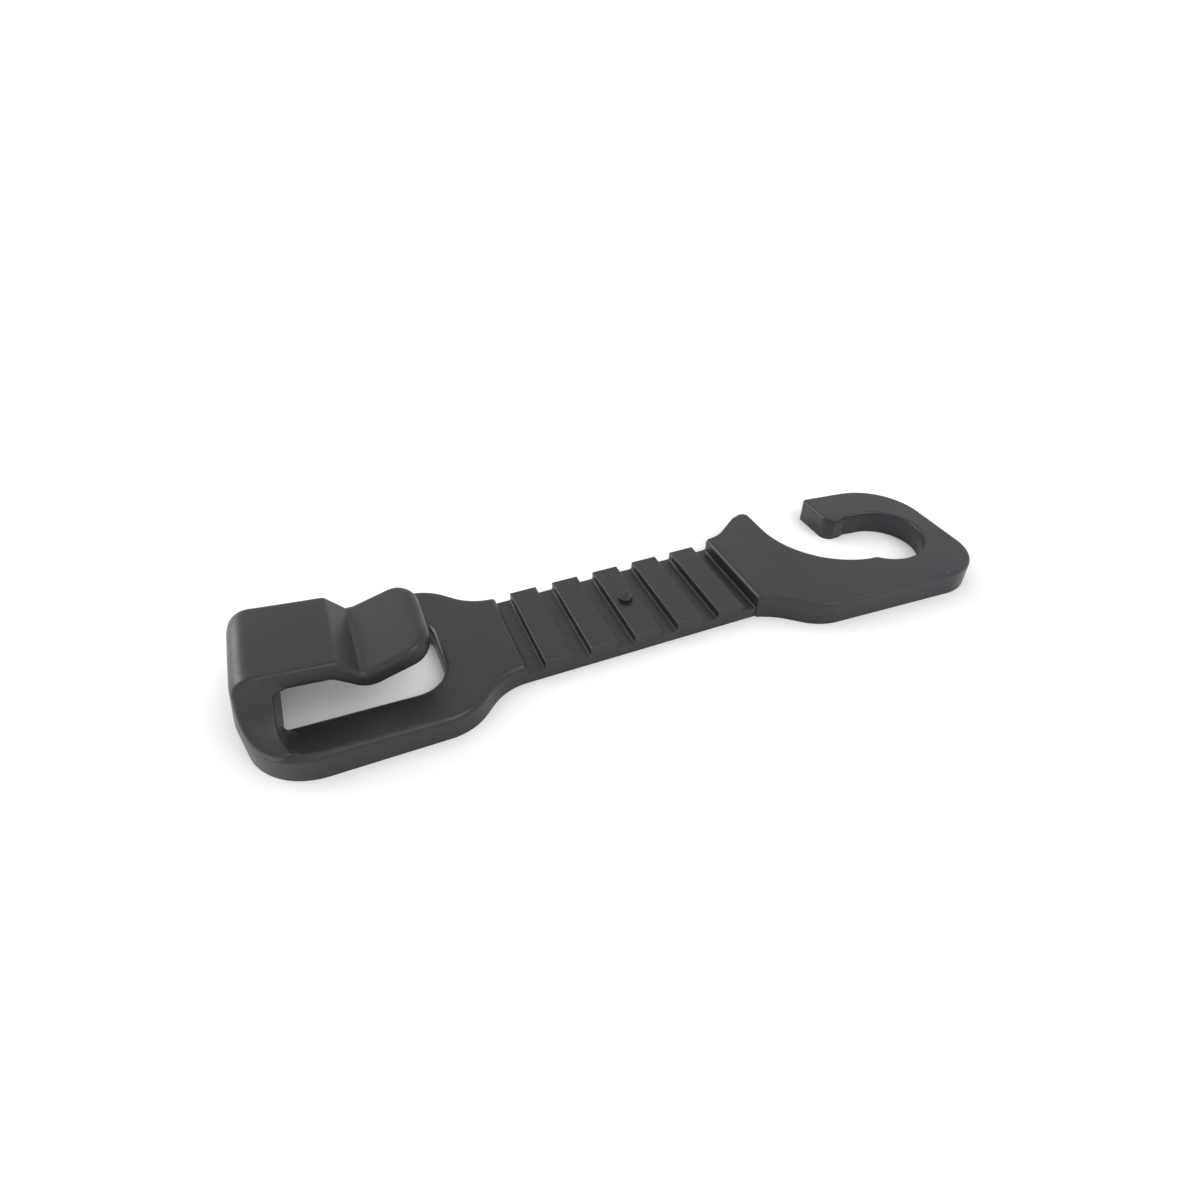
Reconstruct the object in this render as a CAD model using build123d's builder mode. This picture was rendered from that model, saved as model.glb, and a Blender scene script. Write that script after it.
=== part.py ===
from build123d import *
from math import atan2, cos, degrees, hypot, radians, sin, sqrt, tan
import os

# Flexible headrest hanger: bag hook, ribbed strap and open snap-on ring, moulded in one piece.
# X runs along the strap from the hook to the ring, Y across it and Z up. The origin is on the
# underside, in the middle of the centre rib. The moulding is divided where its work changes:
# stiff zones are bodies, and the thin zones between them are the ones that bend.

os.makedirs("parts", exist_ok=True)

# Strap
STRAP_WIDTH = 17.4
RIB_COUNT = 5
RIB_PITCH = 7.3
RIB_WIDTH = 4.45
RIB_HEIGHT = 3.25
RIB_EDGE = 0.25
WEB_HEIGHT = 1.75

# Both end plates
PLATE_START = 19.45
START_EDGE = 0.8
PLATE_EDGE = 0.5

# Eye plate with its window; it thickens towards the hook
EYE_EDGE = 0.9
EYE_END = -58.8
EYE_HEIGHT = 4.45
EYE_NECK_HEIGHT = 3.4
EYE_HALF_WIDTH = 14.7
EYE_CORNER = 9.9
EYE_NECK_START = -29.3
EYE_NECK_END = -23.2
NECK_ROUND = 8.3
WINDOW_START = -53.8
WINDOW_END = -30.7
WINDOW_HALF_WIDTH = 8.2
WINDOW_ROUND = 4.8
WINDOW_TIGHT = 0.8

# Hook: a wall at the outer end, then a tongue over the window with a crease and a raised lip
HOOK_HALF_WIDTH = 7.45
HOOK_THICKNESS = 2.9
RISER_THICKNESS = 5.2
DRAFT = 9.0
ELBOW_ROUND = 3.0
ELBOW_INNER_ROUND = 1.2
FLARE = 8.0
TONGUE_TOP = 13.7
TONGUE_FALL = 5.2
STEP_START = -44.4
STEP_ROUND = 1.0
STEP_FALL = 47.0
CREASE = -41.7
CREASE_Z = 9.3
CREASE_ROUND = 0.7
BELLY = -41.4
BELLY_ROUND = 3.5
LIP_RISE = 15.5
LIP_END = -31.8
LIP_CORNER = 2.6
NOSE_ROUND = 1.4
ROOT_START = -52.5
ROOT_END = -47.5
LIP_START = -40.5

# Ring: an open C around a post, with its mouth between a horn and the end of the arm
RING_HEIGHT = 4.25
BORE = (49.4, -2.4)
BORE_RADIUS = 7.1
RING_END = 60.6
SCOOP = (45.15, 7.3)
SCOOP_RADIUS = 14.6
ARM_END = 42.9
ARM_INNER = 4.55
ARM_ROOT_START = -5.0
ARM_ROOT_END = 0.0

# Ring outline: corners from the near side of the neck round the end to the arm's tip and into
# the bore, with the rounding of each corner
NEAR_START_Y = -8.95
NEAR_NECK = (22.3, -10.0)
NEAR_SHOULDER = (27.95, -15.0)
NEAR_CORNER_Y = -16.7
FAR_CORNER_Y = 11.05
ARM_TIP_Y = 13.0
ARM_HEEL = (46.0, ARM_INNER)
BORE_LEAD = (47.3, 5.0)
NEAR_ROUNDS = [14.0, 9.0, 7.4, 10.9, 0.6, 1.9, 0.5, 0.5]

# Horn: its tip, shoulder and the far side of the neck
HORN_TIP_Y = 13.9
HORN_SHOULDER = (27.3, 12.8)
FAR_NECK_X = 21.9
HORN_ROUNDS = [1.3, 4.0, 6.0]

# Moulding gate on the centre rib
PIP_RADIUS = 1.15
PIP_HEIGHT = 0.7
PIP_EDGE = 0.2
DIMPLE_RADIUS = 0.9
DIMPLE_DEPTH = 0.35

FAR = 100.0
half_strap = STRAP_WIDTH / 2
half_rib = RIB_WIDTH / 2
rib_centres = [(n - (RIB_COUNT - 1) / 2) * RIB_PITCH for n in range(RIB_COUNT)]


def save(piece, name):
    """Label a piece and write it as its own STEP file."""
    piece.part.label = name
    export_step(piece.part, f"parts/{name}.step")


def zone(blank, low, high):
    """The part of a moulding blank inside the box between two corners."""
    with BuildPart() as piece:
        add(blank.part)
        with Locations(tuple((a + b) / 2 for a, b in zip(low, high))):
            Box(*[b - a for a, b in zip(low, high)], mode=Mode.INTERSECT)
    return piece


# ---- Eye plate -------------------------------------------------------------------------------
with BuildSketch() as eye_outline:
    with BuildLine():
        FilletPolyline(
            (EYE_END, 0),
            (EYE_END, EYE_HALF_WIDTH),
            (EYE_NECK_START, EYE_HALF_WIDTH),
            (EYE_NECK_END, half_strap),
            (-PLATE_START, half_strap),
            radius=[EYE_CORNER, NECK_ROUND, NECK_ROUND],
        )
        Polyline((-PLATE_START, half_strap), (-PLATE_START, 0), (EYE_END, 0))
    make_face()
    mirror(about=Plane.XZ)

window_corners = [
    (WINDOW_START, -WINDOW_HALF_WIDTH),
    (WINDOW_END, -WINDOW_HALF_WIDTH),
    (WINDOW_END, WINDOW_HALF_WIDTH),
    (WINDOW_START, WINDOW_HALF_WIDTH),
]
window_rounds = [WINDOW_TIGHT, WINDOW_ROUND, WINDOW_ROUND, WINDOW_TIGHT]

eye_slope = degrees(atan2(EYE_HEIGHT - EYE_NECK_HEIGHT, -PLATE_START - WINDOW_START))

with BuildPart() as eye_plate:
    add(eye_outline.sketch)
    extrude(amount=EYE_HEIGHT)
    # Top face, falling from the window's outer end to the neck
    split(bisect_by=Plane((WINDOW_START, 0, EYE_HEIGHT)).rotated((0, eye_slope, 0)), keep=Keep.BOTTOM)
    with BuildSketch():
        with BuildLine():
            FilletPolyline(*window_corners, radius=window_rounds, close=True)
        make_face()
    extrude(amount=EYE_HEIGHT, mode=Mode.SUBTRACT)
    rim = eye_plate.faces().sort_by(Axis.Z)[-2].outer_wire().edges()
    fillet(rim.filter_by_position(Axis.X, WINDOW_START, 0), EYE_EDGE)
save(eye_plate, "eye_plate")

# ---- Hook ------------------------------------------------------------------------------------
lean = tan(radians(DRAFT))
fall = tan(radians(TONGUE_FALL))
rise = tan(radians(LIP_RISE))


def across(angle, thickness):
    """Height through a slab of this thickness that slopes at this angle."""
    return thickness / cos(radians(angle))


def tongue_top(x):
    """Height of the tongue's sloping top face."""
    return TONGUE_TOP - (x - EYE_END) * fall


def lip_top(x):
    """Height of the lip's rising top face."""
    return CREASE_Z + (x - CREASE) * rise


tongue_depth = across(TONGUE_FALL, HOOK_THICKNESS)
lip_depth = across(LIP_RISE, HOOK_THICKNESS)
step_under = STEP_START - HOOK_THICKNESS * tan(radians((STEP_FALL - TONGUE_FALL) / 2))
riser_foot = (EYE_END, EYE_HEIGHT)
riser_top = (riser_foot[0] + (TONGUE_TOP - EYE_HEIGHT) * lean, TONGUE_TOP)
inner_foot = (riser_foot[0] + RISER_THICKNESS, EYE_HEIGHT)
inner_top = TONGUE_TOP - tongue_depth - RISER_THICKNESS * fall

# The riser's sides flare out in a wide hollow curve to the edge of the plate.
flare_top = (HOOK_HALF_WIDTH, EYE_HEIGHT + FLARE)
flare_foot = (HOOK_HALF_WIDTH + FLARE, EYE_HEIGHT)

with BuildPart() as riser_flare:
    with BuildSketch(Plane.XZ):
        with BuildLine():
            Polyline(
                riser_foot,
                (EYE_END + FLARE * lean, EYE_HEIGHT + FLARE),
                (inner_foot[0] + FLARE * lean, EYE_HEIGHT + FLARE),
                inner_foot,
                close=True,
            )
        make_face()
    extrude(amount=EYE_HALF_WIDTH, both=True)
    with BuildSketch(Plane.YZ.offset(EYE_END)):
        with BuildLine():
            RadiusArc(flare_top, flare_foot, -FLARE)
            Polyline(flare_foot, (0, EYE_HEIGHT), (0, flare_top[1]), flare_top)
        make_face()
        mirror(about=Plane.YZ)
    extrude(amount=FLARE * 2, mode=Mode.INTERSECT)

with BuildPart() as hook_blank:
    with BuildSketch(Plane.XZ):
        with BuildLine():
            FilletPolyline(
                riser_foot,
                riser_top,
                (STEP_START, tongue_top(STEP_START)),
                (CREASE, CREASE_Z),
                (LIP_END, lip_top(LIP_END)),
                (LIP_END, lip_top(LIP_END) - lip_depth),
                (BELLY, lip_top(BELLY) - lip_depth),
                (step_under, tongue_top(step_under) - tongue_depth),
                (inner_foot[0] + (inner_top - EYE_HEIGHT) * lean, inner_top),
                inner_foot,
                radius=[
                    ELBOW_ROUND, STEP_ROUND, CREASE_ROUND, NOSE_ROUND, NOSE_ROUND, BELLY_ROUND,
                    2 * STEP_ROUND, ELBOW_INNER_ROUND,
                ],
            )
            Line(inner_foot, riser_foot)
        make_face()
    extrude(amount=HOOK_HALF_WIDTH, both=True)
    add(riser_flare.part)
    # In plan the outer face follows the eye plate's rounded end, and the lip's corners are cut round.
    with BuildSketch():
        add(eye_outline.sketch)
        with BuildLine():
            FilletPolyline(
                (CREASE, HOOK_HALF_WIDTH),
                (LIP_END, HOOK_HALF_WIDTH),
                (LIP_END, -HOOK_HALF_WIDTH),
                (CREASE, -HOOK_HALF_WIDTH),
                radius=LIP_CORNER,
            )
            Polyline(
                (CREASE, -HOOK_HALF_WIDTH),
                (EYE_END, -FAR),
                (EYE_END, FAR),
                (CREASE, HOOK_HALF_WIDTH),
            )
        make_face(mode=Mode.INTERSECT)
    extrude(amount=TONGUE_TOP, mode=Mode.INTERSECT)

hook_zones = {
    "hook_riser": (-FAR, ROOT_START),
    "tongue_root": (ROOT_START, ROOT_END),
    "hook_tongue": (ROOT_END, LIP_START),
    "thumb_lip": (LIP_START, FAR),
}
for name, (start, end) in hook_zones.items():
    piece = zone(hook_blank, (start, -FAR, 0), (end, FAR, FAR))
    save(piece, name)

# ---- Strap -----------------------------------------------------------------------------------
for number, centre in enumerate(rib_centres, 1):
    with BuildPart() as rib:
        with BuildSketch():
            with Locations((centre, 0)):
                Rectangle(RIB_WIDTH, STRAP_WIDTH)
        extrude(amount=RIB_HEIGHT)
        fillet(rib.faces().sort_by(Axis.Z)[-1].edges(), RIB_EDGE)
    save(rib, f"rib_{number}")

web_ends = [-PLATE_START, *rib_centres, PLATE_START]
for number, (left, right) in enumerate(zip(web_ends, web_ends[1:]), 1):
    start = left if number == 1 else left + half_rib
    end = right if number == RIB_COUNT + 1 else right - half_rib
    with BuildPart() as web:
        with BuildSketch():
            with Locations(((start + end) / 2, 0)):
                Rectangle(end - start, STRAP_WIDTH)
        extrude(amount=WEB_HEIGHT)
    save(web, f"web_{number}")

# ---- Gate pip --------------------------------------------------------------------------------
pip_top = RIB_HEIGHT + PIP_HEIGHT
dimple_sphere = (DIMPLE_RADIUS**2 + DIMPLE_DEPTH**2) / (2 * DIMPLE_DEPTH)

with BuildPart() as gate_pip:
    with BuildSketch(Plane.XY.offset(RIB_HEIGHT)):
        Circle(PIP_RADIUS)
    extrude(amount=PIP_HEIGHT)
    fillet(gate_pip.edges().sort_by(Axis.Z)[-1], PIP_EDGE)
    with Locations((0, 0, pip_top - DIMPLE_DEPTH + dimple_sphere)):
        Sphere(dimple_sphere, mode=Mode.SUBTRACT)
save(gate_pip, "gate_pip")

# ---- Ring ------------------------------------------------------------------------------------


def lower_meeting(centre_a, radius_a, centre_b, radius_b):
    """The lower point where two circles cross."""
    dx = centre_b[0] - centre_a[0]
    dy = centre_b[1] - centre_a[1]
    gap = hypot(dx, dy)
    along = (radius_a**2 - radius_b**2 + gap**2) / (2 * gap)
    off = sqrt(radius_a**2 - along**2)
    points = [
        (centre_a[0] + (along * dx - side * off * dy) / gap,
         centre_a[1] + (along * dy + side * off * dx) / gap)
        for side in (-1, 1)
    ]
    return min(points, key=lambda point: point[1])


def on_circle(centre, radius, angle):
    """A point on a circle, at an angle in degrees from +X."""
    return (centre[0] + radius * cos(radians(angle)), centre[1] + radius * sin(radians(angle)))


cusp = lower_meeting(BORE, BORE_RADIUS, SCOOP, SCOOP_RADIUS)
scoop_left = on_circle(SCOOP, SCOOP_RADIUS, 180)
bore_top = on_circle(BORE, BORE_RADIUS, 90)

with BuildPart() as ring_blank:
    with BuildSketch():
        with BuildLine():
            # Near side of the neck, round the end, and along the arm to its tip
            FilletPolyline(
                (PLATE_START, NEAR_START_Y),
                NEAR_NECK,
                NEAR_SHOULDER,
                (RING_END, NEAR_CORNER_Y),
                (RING_END, FAR_CORNER_Y),
                (ARM_END, ARM_TIP_Y),
                (ARM_END, ARM_INNER),
                ARM_HEEL,
                BORE_LEAD,
                bore_top,
                radius=NEAR_ROUNDS,
            )
            ThreePointArc(bore_top, on_circle(BORE, BORE_RADIUS, -40), cusp)
            ThreePointArc(cusp, on_circle(SCOOP, SCOOP_RADIUS, 215), scoop_left)
            # Horn and far side of the neck
            FilletPolyline(
                scoop_left,
                (scoop_left[0], HORN_TIP_Y),
                HORN_SHOULDER,
                (FAR_NECK_X, half_strap),
                (PLATE_START, half_strap),
                radius=HORN_ROUNDS,
            )
            Line((PLATE_START, half_strap), (PLATE_START, NEAR_START_Y))
        make_face()
    extrude(amount=RING_HEIGHT)
    rim = ring_blank.faces().sort_by(Axis.Z)[-1].edges().sort_by(Axis.X)
    fillet(rim[0], START_EDGE)
    rim = ring_blank.faces().sort_by(Axis.Z)[-1].edges().sort_by(Axis.X)
    fillet(rim[1:], PLATE_EDGE)

ring_arm = zone(ring_blank, (ARM_END - 1, ARM_ROOT_END, 0), (FAR, FAR, FAR))
save(ring_arm, "ring_arm")

arm_root = zone(ring_blank, (BORE[0], ARM_ROOT_START, 0), (FAR, ARM_ROOT_END, FAR))
save(arm_root, "arm_root")

with BuildPart() as ring_plate:
    add(ring_blank.part)
    with Locations((ARM_END - 1, ARM_ROOT_END, 0)):
        Box(FAR, FAR, FAR, align=(Align.MIN, Align.MIN, Align.CENTER), mode=Mode.SUBTRACT)
    with Locations((BORE[0], ARM_ROOT_START, 0)):
        Box(FAR, FAR, FAR, align=(Align.MIN, Align.MIN, Align.CENTER), mode=Mode.SUBTRACT)
save(ring_plate, "ring_plate")
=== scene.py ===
import math

import bmesh
import bpy
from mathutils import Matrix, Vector


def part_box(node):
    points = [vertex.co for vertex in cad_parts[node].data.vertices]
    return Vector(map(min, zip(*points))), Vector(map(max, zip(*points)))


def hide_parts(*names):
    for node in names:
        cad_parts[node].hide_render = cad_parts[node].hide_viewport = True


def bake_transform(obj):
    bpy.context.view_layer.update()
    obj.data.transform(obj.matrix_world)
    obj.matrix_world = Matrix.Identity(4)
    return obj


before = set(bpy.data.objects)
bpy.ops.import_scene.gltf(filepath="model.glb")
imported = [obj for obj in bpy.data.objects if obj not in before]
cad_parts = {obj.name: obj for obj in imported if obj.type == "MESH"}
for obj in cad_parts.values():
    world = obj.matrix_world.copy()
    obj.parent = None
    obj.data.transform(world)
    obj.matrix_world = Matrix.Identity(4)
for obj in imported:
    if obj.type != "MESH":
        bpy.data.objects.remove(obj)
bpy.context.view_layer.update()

MM = 0.001

# Two points closer than this are one, in metres
SAME = 1e-6
# The same for marks on the finished meshes, in millimetres
SAME_MM = 1e-3

# Hook, in millimetres: outer and inner lines of its profile, from the plate to the lip
EYE_HEIGHT = 4.45
END_ROUND = 9.9
END_FLAT = 4.8
HALF_WIDTH = 7.45
# The plate's top falls from here towards the strap
WINDOW_START = -53.8
PLATE_SLOPE = 0.0306
FLARE = 8.0
FLARE_LIMIT = 13.35
EDGE = 0.6
# Hollow foot of the riser on the rails beside the window
FOOT_ROUND = 2.2
RAIL_START = 7.9
RAIL_BLEND = 1.4
# How far the riser reaches down into the plate, and in from its outer and inner faces there
SUNK = 1.1
INSET = 0.06
SUNK_BACK = 0.35
LIP_HALF_THICKNESS = 1.45
LIP_CORNER = 3.6
LIP_START = 3.8
LIP_ANGLE = math.radians(15.5)
NOSE = (-33.25, 10.14)
OUTER_LINE = [(-58.8, 4.45), (-58.8, 5.4), (-57.33, 13.7), (-44.4, 12.39), (-41.7, 9.3)]
OUTER_ROUNDS = [6.0, 3.0, 1.1, 0.8]
INNER_LINE = [(-53.6, 4.45), (-53.6, 5.4), (-52.67, 10.3), (-45.5, 9.55), (-41.5, 6.3)]
INNER_ROUNDS = [6.0, 1.2, 2.0, 3.5]
FLAT_HALF_STEPS = 12
CORNER_STEPS = 5
LIP_STEPS = 16
RUN_STEPS = [3, 12, 14, 4, 12]
ROUND_STEPS = [4, 10, 6, 8]

# Strap, in millimetres
STRAP_HALF_WIDTH = 8.7
WEB_HEIGHT = 1.75
WEB_FOOT = 0.3
WEB_FOOT_STEPS = 4
WEB_FLAT_STEPS = 6
WEB_SHARP_ANGLE = math.radians(40)

# Sprung side of the ring, in millimetres
ARM_ROOT = (-5.0, 0.0)
ARM_ROOT_CUTS = 9
ARM_SHARP_ANGLE = math.radians(35)

# Photograph's view, in metres and degrees
CAMERA_PLACE = (-0.03904, -0.08250, 0.07914)
CAMERA_BELOW_LEVEL = 39.87
CAMERA_TURN = -22.74
CAMERA_LENS = 21.951
CAMERA_SENSOR = 36
CLIP_NEAR = 0.001
CLIP_FAR = 100

# Table and lights
FLOOR_SIZE = 60
FLOOR_DROP = 0.00002
FLOOR_WHITE = (0.95, 0.95, 0.95, 1)
FLOOR_ROUGHNESS = 0.9
SKY_STRENGTH = 0.95

# Plastic, as linear colours
HOOK_BLACK = (0.0120, 0.0102, 0.0102, 1)
RING_BLACK = (0.0100, 0.0100, 0.0165, 1)
BLOTCH_GREY = (0.0170, 0.0158, 0.0175, 1)
MOTTLE_GREY = (0.024, 0.023, 0.026, 1)
DUST_GREY = (0.45, 0.45, 0.46, 1)


def new_object(name, data):
    """A new object in the scene from its mesh, light or camera data."""
    thing = bpy.data.objects.new(name, data)
    bpy.context.scene.collection.objects.link(thing)
    return thing


def finish_mesh(name, bm):
    """A smooth-shaded object from a bmesh, with its faces turned outwards."""
    bmesh.ops.recalc_face_normals(bm, faces=bm.faces)
    mesh = bpy.data.meshes.new(name)
    bm.to_mesh(mesh)
    bm.free()
    mesh.shade_smooth()
    return new_object(name, mesh)


def mesh_piece(name, vertices, faces):
    """A new smooth-shaded mesh object from points in millimetres."""
    bm = bmesh.new()
    points = [bm.verts.new(Vector(v) * MM) for v in vertices]
    for face in faces:
        bm.faces.new([points[i] for i in face])
    bmesh.ops.remove_doubles(bm, verts=bm.verts, dist=SAME)
    return finish_mesh(name, bm)


def sharpen(piece, test):
    """Marks the edges whose two ends pass the test as sharp."""
    mesh = piece.data
    for edge in mesh.edges:
        if all(test(mesh.vertices[i].co / MM) for i in edge.vertices):
            edge.use_edge_sharp = True


def ease(t):
    """Smooth step from 0 to 1."""
    t = min(max(t, 0), 1)
    return t * t * (3 - 2 * t)


def rounded_line(points, radii):
    """Samples of a line with rounded corners: the same count for every line of this shape."""
    points = [Vector(p) for p in points]
    samples = []
    start = points[0]
    for i, radius in enumerate(radii, 1):
        corner = points[i]
        back = (points[i - 1] - corner).normalized()
        ahead = (points[i + 1] - corner).normalized()
        half = back.angle(ahead) / 2
        reach = radius / math.tan(half)
        first, last = corner + back * reach, corner + ahead * reach
        centre = corner + (back + ahead).normalized() * (radius / math.sin(half))
        run = RUN_STEPS[i - 1]
        samples += [start.lerp(first, k / run) for k in range(run)]
        a, b = first - centre, last - centre
        sweep = math.pi - 2 * half
        for k in range(ROUND_STEPS[i - 1]):
            t = k / ROUND_STEPS[i - 1]
            turned = a * math.sin((1 - t) * sweep) + b * math.sin(t * sweep)
            samples.append(centre + turned / math.sin(sweep))
        start = last
    samples += [start.lerp(points[-1], k / RUN_STEPS[-1]) for k in range(RUN_STEPS[-1] + 1)]
    return samples


def flare_width(z):
    """Half-width of the riser at a height: straight above, hollow-curved out to the plate below."""
    drop = EYE_HEIGHT + FLARE - z
    if drop <= 0:
        return HALF_WIDTH
    out = FLARE - math.sqrt(max(FLARE**2 - min(drop, FLARE) ** 2, 0))
    return min(HALF_WIDTH + out, FLARE_LIMIT)


def end_curve(y):
    """How far the plate's rounded end falls back at a distance from the middle."""
    over = max(abs(y) - END_FLAT, 0)
    return END_ROUND - math.sqrt(END_ROUND**2 - over**2)


def foot_spread(y, z):
    """How far the riser's inner foot runs out in a hollow curve onto the rails beside the window."""
    left = FOOT_ROUND - (z - EYE_HEIGHT)
    if left <= 0:
        return 0
    spread = FOOT_ROUND - math.sqrt(FOOT_ROUND**2 - min(left, FOOT_ROUND) ** 2)
    return spread * ease((abs(y) - RAIL_START) / RAIL_BLEND)


def section_outline():
    """A section's points: (share of flat width, share of edge, share of flat depth, edges of depth)."""
    flat = [-1 + k / FLAT_HALF_STEPS for k in range(2 * FLAT_HALF_STEPS + 1)]
    turns = [math.pi / 2 * k / CORNER_STEPS for k in range(1, CORNER_STEPS + 1)]
    top = [(u, 0, 0, 0) for u in flat]
    outer_corner = [(1, math.sin(a), 0, 1 - math.cos(a)) for a in turns]
    wall = [(1, 1, t, 1) for t in (1 / 3, 2 / 3)]
    inner_corner = [(1, c, 1, 2 - q) for _, c, _, q in reversed(outer_corner)]
    right = outer_corner + wall + inner_corner
    bottom = [(-u, 0, 1, 2) for u in flat]
    left = [(-u, -c, v, q) for u, c, v, q in reversed(right)]
    return top + right + bottom + left


def hook_ring(outer, inner, inset=0.0, riser=False):
    """One closed section of the hook between an outer and an inner point of its profile."""
    depth = (inner - outer).length
    ring = []
    for u, c, v, q in section_outline():
        share = (v * (depth - 2 * EDGE) + q * EDGE) / depth
        point = outer.lerp(inner, share)
        width = flare_width(point.y) - inset if riser else HALF_WIDTH
        y = u * (width - EDGE) + c * EDGE
        x, z = point
        if riser:
            x += (end_curve(y) + inset) * (1 - share) + foot_spread(y, z) * share
            z -= max(x - WINDOW_START, 0) * PLATE_SLOPE * ease(1 - (z - EYE_HEIGHT) / FOOT_ROUND)
        ring.append((x, y, z))
    return ring


def bridge(rings):
    """Faces between closed rings of equal count, with a face at each end."""
    count = len(rings[0])
    vertices = [p for ring in rings for p in ring]
    faces = [tuple(range(count))[::-1]]
    for r in range(len(rings) - 1):
        for k in range(count):
            a, b = r * count + k, r * count + (k + 1) % count
            faces.append((a, b, b + count, a + count))
    faces.append(tuple(range((len(rings) - 1) * count, len(rings) * count)))
    return vertices, faces


def lip_point(back, height):
    """A point of the lip's profile: how far back from its tip, and how high over its middle."""
    along = Vector((math.cos(LIP_ANGLE), math.sin(LIP_ANGLE)))
    up = Vector((-along.y, along.x))
    return Vector(NOSE) + along * (LIP_HALF_THICKNESS - back) + up * height


def edge_round(ahead, aside):
    """Rounding of the lip's edge where its outline faces this way."""
    facing = ahead / max(math.hypot(ahead, aside), 1e-9)
    return EDGE + (LIP_HALF_THICKNESS - EDGE) * facing**2


def lip_edge(back, corner, over, y):
    """Distance in from the lip's outline, and the rounding of the nearest edge."""
    if over == 0:
        return back, LIP_HALF_THICKNESS
    if corner == 0:
        return min(back, HALF_WIDTH - abs(y)), EDGE
    return LIP_CORNER - math.hypot(over, corner), edge_round(corner, over)


def lip_ring(back):
    """Section of the lip: full round at the tip, with a small edge and a wall along its sides."""
    straight = HALF_WIDTH - LIP_CORNER
    corner = max(LIP_CORNER - back, 0)
    width = straight + math.sqrt(LIP_CORNER**2 - corner**2)
    side_edge = edge_round(corner, width - straight)
    ring = []
    for u, c, v, _ in section_outline():
        y = u * (width - side_edge) + c * side_edge
        gap, edge = lip_edge(back, corner, max(abs(y) - straight, 0), y)
        near = max(edge - max(gap, 0), 0)
        half = LIP_HALF_THICKNESS - edge + math.sqrt(edge**2 - near**2)
        point = lip_point(back, half * (1 - 2 * v))
        ring.append((point.x, y, point.y))
    return ring


def make_hook():
    """Riser, elbow, tongue and lip as one smooth skin, sunk a little into the plate."""
    outer = rounded_line(OUTER_LINE + [lip_point(LIP_START, LIP_HALF_THICKNESS)], OUTER_ROUNDS)
    inner = rounded_line(INNER_LINE + [lip_point(LIP_START, -LIP_HALF_THICKNESS)], INNER_ROUNDS)
    riser_end = sum(RUN_STEPS[:2]) + sum(ROUND_STEPS[:2])
    sunk_outer = outer[0] - Vector((0, SUNK))
    sunk_inner = inner[0] - Vector((SUNK_BACK, SUNK))
    rings = [hook_ring(sunk_outer, sunk_inner, inset=INSET, riser=True)]
    rings += [hook_ring(a, b, riser=k <= riser_end) for k, (a, b) in enumerate(zip(outer, inner))]
    rings += [lip_ring(LIP_START * (1 - k / LIP_STEPS) ** 2) for k in range(1, LIP_STEPS + 1)]
    return mesh_piece("bag_hook", *bridge(rings))


hook = make_hook()
sharpen(hook, lambda p: p.z < EYE_HEIGHT + SAME_MM)
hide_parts("hook_riser", "tongue_root", "hook_tongue", "thumb_lip")
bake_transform(hook)


def make_web(name, start, end):
    """A thin bending zone between two ribs, hollowed up to them at both ends."""
    arc = [math.pi / 2 * k / WEB_FOOT_STEPS for k in range(WEB_FOOT_STEPS + 1)]
    rise = [(WEB_FOOT * math.sin(a), WEB_FOOT * (1 - math.cos(a))) for a in arc]
    foot = [(WEB_FOOT - out, up) for out, up in reversed(rise)]
    flat_start, flat_end = start + WEB_FOOT, end - WEB_FOOT
    flat = [
        (flat_start + (flat_end - flat_start) * k / WEB_FLAT_STEPS, 0)
        for k in range(1, WEB_FLAT_STEPS)
    ]
    columns = [(start + x, up) for x, up in foot]
    columns += flat
    columns += [(end - x, up) for x, up in reversed(foot)]
    vertices = []
    for x, up in columns:
        top = WEB_HEIGHT + up
        for y, z in ((-1, 0), (1, 0), (1, top), (-1, top)):
            vertices.append((x, y * STRAP_HALF_WIDTH, z))
    faces = [(0, 1, 2, 3)]
    for k in range(len(columns) - 1):
        for side in range(4):
            a, b = 4 * k + side, 4 * k + (side + 1) % 4
            faces.append((a, b, b + 4, a + 4))
    last = 4 * (len(columns) - 1)
    faces.append((last, last + 1, last + 2, last + 3))
    web = mesh_piece(name, vertices, faces)
    web.data.set_sharp_from_angle(angle=WEB_SHARP_ANGLE)
    return web


strap_bodies = ["hook_end", "strap_1", "strap_2", "strap_3", "strap_4", "strap_5", "ring_end"]
webs = []
for number, (before, after) in enumerate(zip(strap_bodies, strap_bodies[1:]), 1):
    low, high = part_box(f"web_{number}")
    web = make_web(f"strap_web_{number}", low[0] / MM, high[0] / MM)
    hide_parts(f"web_{number}")
    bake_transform(web)
    webs.append(web)


def make_limb():
    """The ring's sprung side and its root as one skin, cut across where it bends."""
    bm = bmesh.new()
    for name in ("arm_root", "ring_arm"):
        bm.from_mesh(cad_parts[name].data)
    bmesh.ops.remove_doubles(bm, verts=bm.verts, dist=SAME)
    # The faces where the two solids meet are inside the skin. The arm's free end is on their plane too.
    root_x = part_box("arm_root")[0][0] - MM
    shared = [
        face
        for face in bm.faces
        if all(abs(v.co.y - arm_root_end) < SAME for v in face.verts)
        and face.calc_center_median().x > root_x
    ]
    bmesh.ops.delete(bm, geom=shared, context="FACES")
    for k in range(1, ARM_ROOT_CUTS):
        y = arm_root_start + (arm_root_end - arm_root_start) * k / ARM_ROOT_CUTS
        skin = bm.verts[:] + bm.edges[:] + bm.faces[:]
        bmesh.ops.bisect_plane(bm, geom=skin, plane_co=(0, y, 0), plane_no=(0, 1, 0))
    limb = finish_mesh("ring_limb", bm)
    limb.data.set_sharp_from_angle(angle=ARM_SHARP_ANGLE)
    weighted = limb.modifiers.new("flat_faces_stay_flat", "WEIGHTED_NORMAL")
    weighted.keep_sharp = True
    return limb


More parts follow.
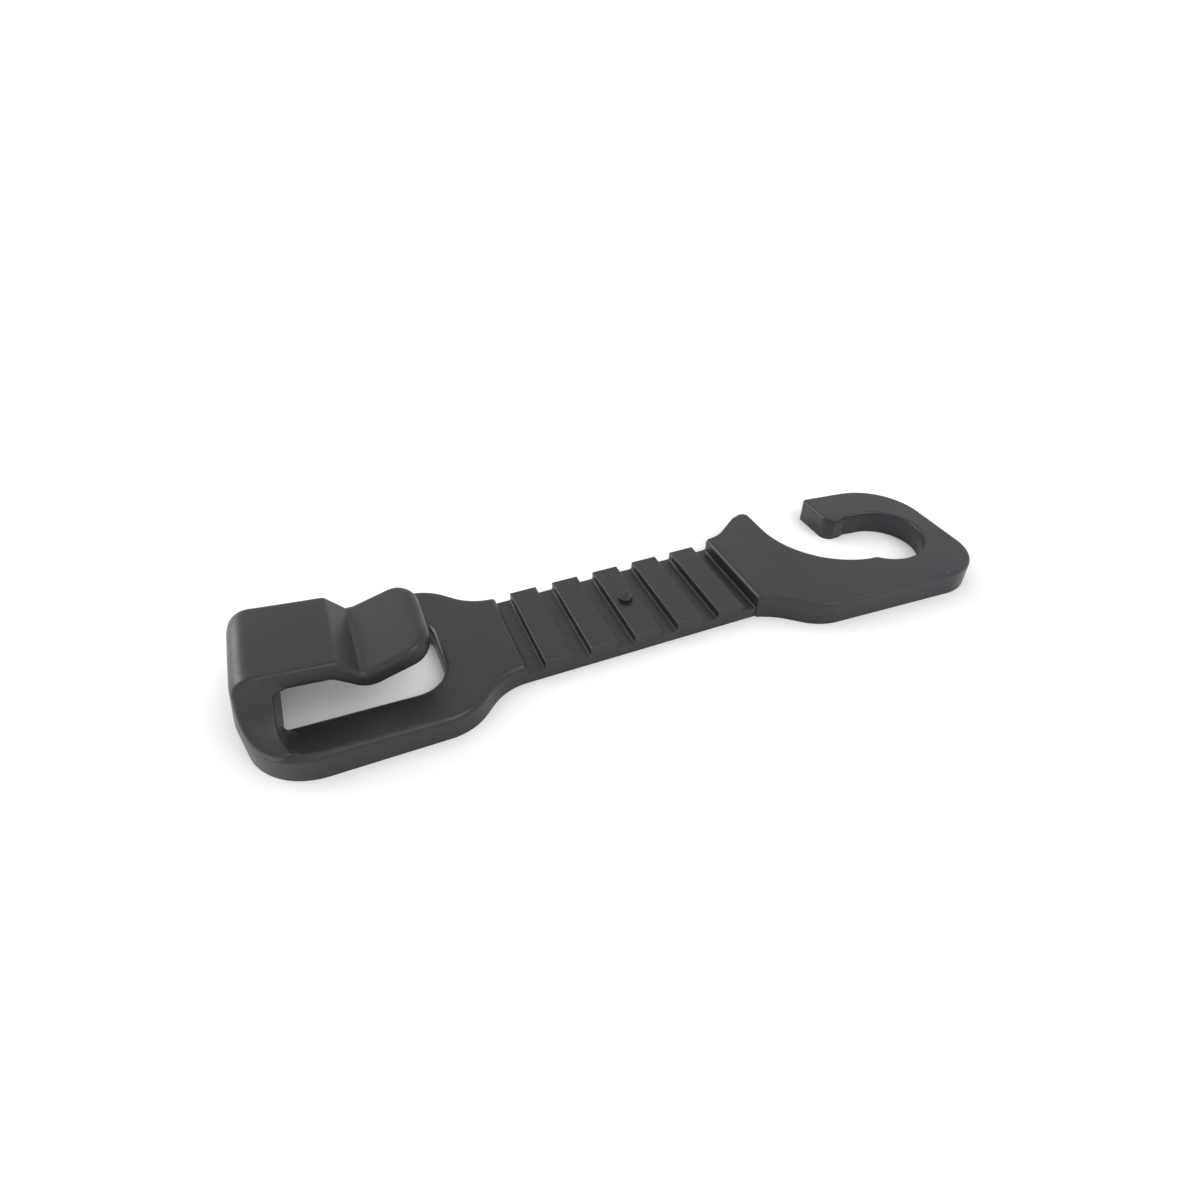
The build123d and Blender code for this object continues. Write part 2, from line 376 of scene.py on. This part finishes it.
arm_root_start, arm_root_end = (y * MM for y in ARM_ROOT)
limb = make_limb()
sharpen(limb, lambda p: abs(p.y - ARM_ROOT[0]) < SAME_MM)
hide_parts("arm_root", "ring_arm")
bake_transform(limb)


def make_plastic():
    """Satin black moulded plastic: faint mottling, moulding texture, handling sheen and dust."""
    mat = bpy.data.materials.new("satin_black_plastic")
    mat.use_nodes = True
    nodes, links = mat.node_tree.nodes, mat.node_tree.links
    shader = nodes["Principled BSDF"]
    shader.inputs["IOR"].default_value = 1.5

    place = nodes.new("ShaderNodeTexCoord")

    def noise(scale, detail, rough=0.5):
        node = nodes.new("ShaderNodeTexNoise")
        node.inputs["Scale"].default_value = scale
        node.inputs["Detail"].default_value = detail
        node.inputs["Roughness"].default_value = rough
        links.new(place.outputs["Object"], node.inputs["Vector"])
        return node.outputs["Fac"]

    def spread(value, low, high, out_low, out_high):
        node = nodes.new("ShaderNodeMapRange")
        node.inputs["From Min"].default_value = low
        node.inputs["From Max"].default_value = high
        node.inputs["To Min"].default_value = out_low
        node.inputs["To Max"].default_value = out_high
        links.new(value, node.inputs["Value"])
        return node.outputs["Result"]

    def math_node(operation, a, b):
        node = nodes.new("ShaderNodeMath")
        node.operation = operation
        for socket, value in zip(node.inputs, (a, b)):
            if isinstance(value, (int, float)):
                socket.default_value = value
            else:
                links.new(value, socket)
        return node.outputs["Value"]

    def mix(factor, a, b):
        node = nodes.new("ShaderNodeMix")
        node.data_type = "RGBA"
        links.new(factor, node.inputs["Factor"])
        for socket, value in ((node.inputs["A"], a), (node.inputs["B"], b)):
            if isinstance(value, tuple):
                socket.default_value = value
            else:
                links.new(value, socket)
        return node.outputs["Result"]

    # Colour: warm towards the hook, cool towards the ring, with soft blotches and fine mottling
    axes = nodes.new("ShaderNodeSeparateXYZ")
    links.new(place.outputs["Object"], axes.inputs["Vector"])
    cool = spread(axes.outputs["X"], -0.04, 0.04, 0, 1)
    tone = mix(cool, HOOK_BLACK, RING_BLACK)
    blotch = spread(noise(70, 3), 0.35, 0.65, 0, 0.45)
    tone = mix(blotch, tone, BLOTCH_GREY)
    mottle = spread(noise(1400, 4, 0.6), 0.4, 0.75, 0, 0.35)
    tone = mix(mottle, tone, MOTTLE_GREY)

    # Dust: a pale speck in a few cells only
    cells = nodes.new("ShaderNodeTexVoronoi")
    cells.inputs["Scale"].default_value = 230
    links.new(place.outputs["Object"], cells.inputs["Vector"])
    chosen = nodes.new("ShaderNodeSeparateColor")
    links.new(cells.outputs["Color"], chosen.inputs["Color"])
    in_cell = math_node("GREATER_THAN", chosen.outputs["Red"], 0.93)
    speck = spread(cells.outputs["Distance"], 0.02, 0.045, 0.75, 0)
    dust = math_node("MULTIPLY", in_cell, speck)
    tone = mix(dust, tone, DUST_GREY)
    links.new(tone, shader.inputs["Base Color"])

    # Sheen: rubbed smoother in patches, rougher in the grain
    rub = spread(noise(110, 4, 0.55), 0.3, 0.7, 0.31, 0.45)
    grain = spread(noise(2600, 2), 0.3, 0.7, -0.03, 0.05)
    links.new(math_node("ADD", rub, grain), shader.inputs["Roughness"])

    # Relief: fine spark-eroded grain over slight sink and flow marks
    fine = nodes.new("ShaderNodeBump")
    fine.inputs["Strength"].default_value = 0.35
    fine.inputs["Distance"].default_value = 0.00002
    links.new(noise(2200, 3, 0.6), fine.inputs["Height"])
    flow = nodes.new("ShaderNodeBump")
    flow.inputs["Strength"].default_value = 0.5
    flow.inputs["Distance"].default_value = 0.00012
    links.new(noise(160, 2), flow.inputs["Height"])
    links.new(fine.outputs["Normal"], flow.inputs["Normal"])
    links.new(flow.outputs["Normal"], shader.inputs["Normal"])
    return mat


plastic = make_plastic()
for piece in [*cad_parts.values(), hook, limb, *webs]:
    piece.data.materials.clear()
    piece.data.materials.append(plastic)

# Camera at the photograph's viewing angle
camera_data = bpy.data.cameras.new("camera")
camera_data.sensor_width = CAMERA_SENSOR
camera_data.lens = CAMERA_LENS
camera_data.clip_start = CLIP_NEAR
camera_data.clip_end = CLIP_FAR
camera = new_object("camera", camera_data)
camera.location = CAMERA_PLACE
camera.rotation_euler = (math.radians(90 - CAMERA_BELOW_LEVEL), 0, math.radians(CAMERA_TURN))
bpy.context.scene.camera = camera

# Floor
bpy.ops.mesh.primitive_plane_add(size=FLOOR_SIZE, location=(0, 0, -FLOOR_DROP))
floor = bpy.context.object
floor.name = "floor"
floor_mat = bpy.data.materials.new("floor_white")
floor_mat.use_nodes = True
floor_shader = floor_mat.node_tree.nodes["Principled BSDF"]
floor_shader.inputs["Base Color"].default_value = FLOOR_WHITE
floor_shader.inputs["Roughness"].default_value = FLOOR_ROUGHNESS
floor.data.materials.append(floor_mat)


def add_sun(name, strength, spread_degrees, elevation, heading):
    """A broad soft light from a direction: elevation above the table, heading round from +X."""
    light = bpy.data.lights.new(name, "SUN")
    light.energy = strength
    light.angle = math.radians(spread_degrees)
    lamp = new_object(name, light)
    up, round_z = math.radians(elevation), math.radians(heading)
    towards = Vector(
        (math.cos(up) * math.cos(round_z), math.cos(up) * math.sin(round_z), math.sin(up))
    )
    lamp.rotation_euler = towards.to_track_quat("Z", "Y").to_euler()


add_sun("window_light", strength=0.9, spread_degrees=28, elevation=20, heading=138)
add_sun("fill_light", strength=0.8, spread_degrees=35, elevation=50, heading=-62)

world = bpy.data.worlds.new("world")
bpy.context.scene.world = world
world.use_nodes = True
sky = world.node_tree.nodes["Background"]
sky.inputs["Color"].default_value = (1, 1, 1, 1)
sky.inputs["Strength"].default_value = SKY_STRENGTH
bpy.context.scene.view_settings.view_transform = "Standard"
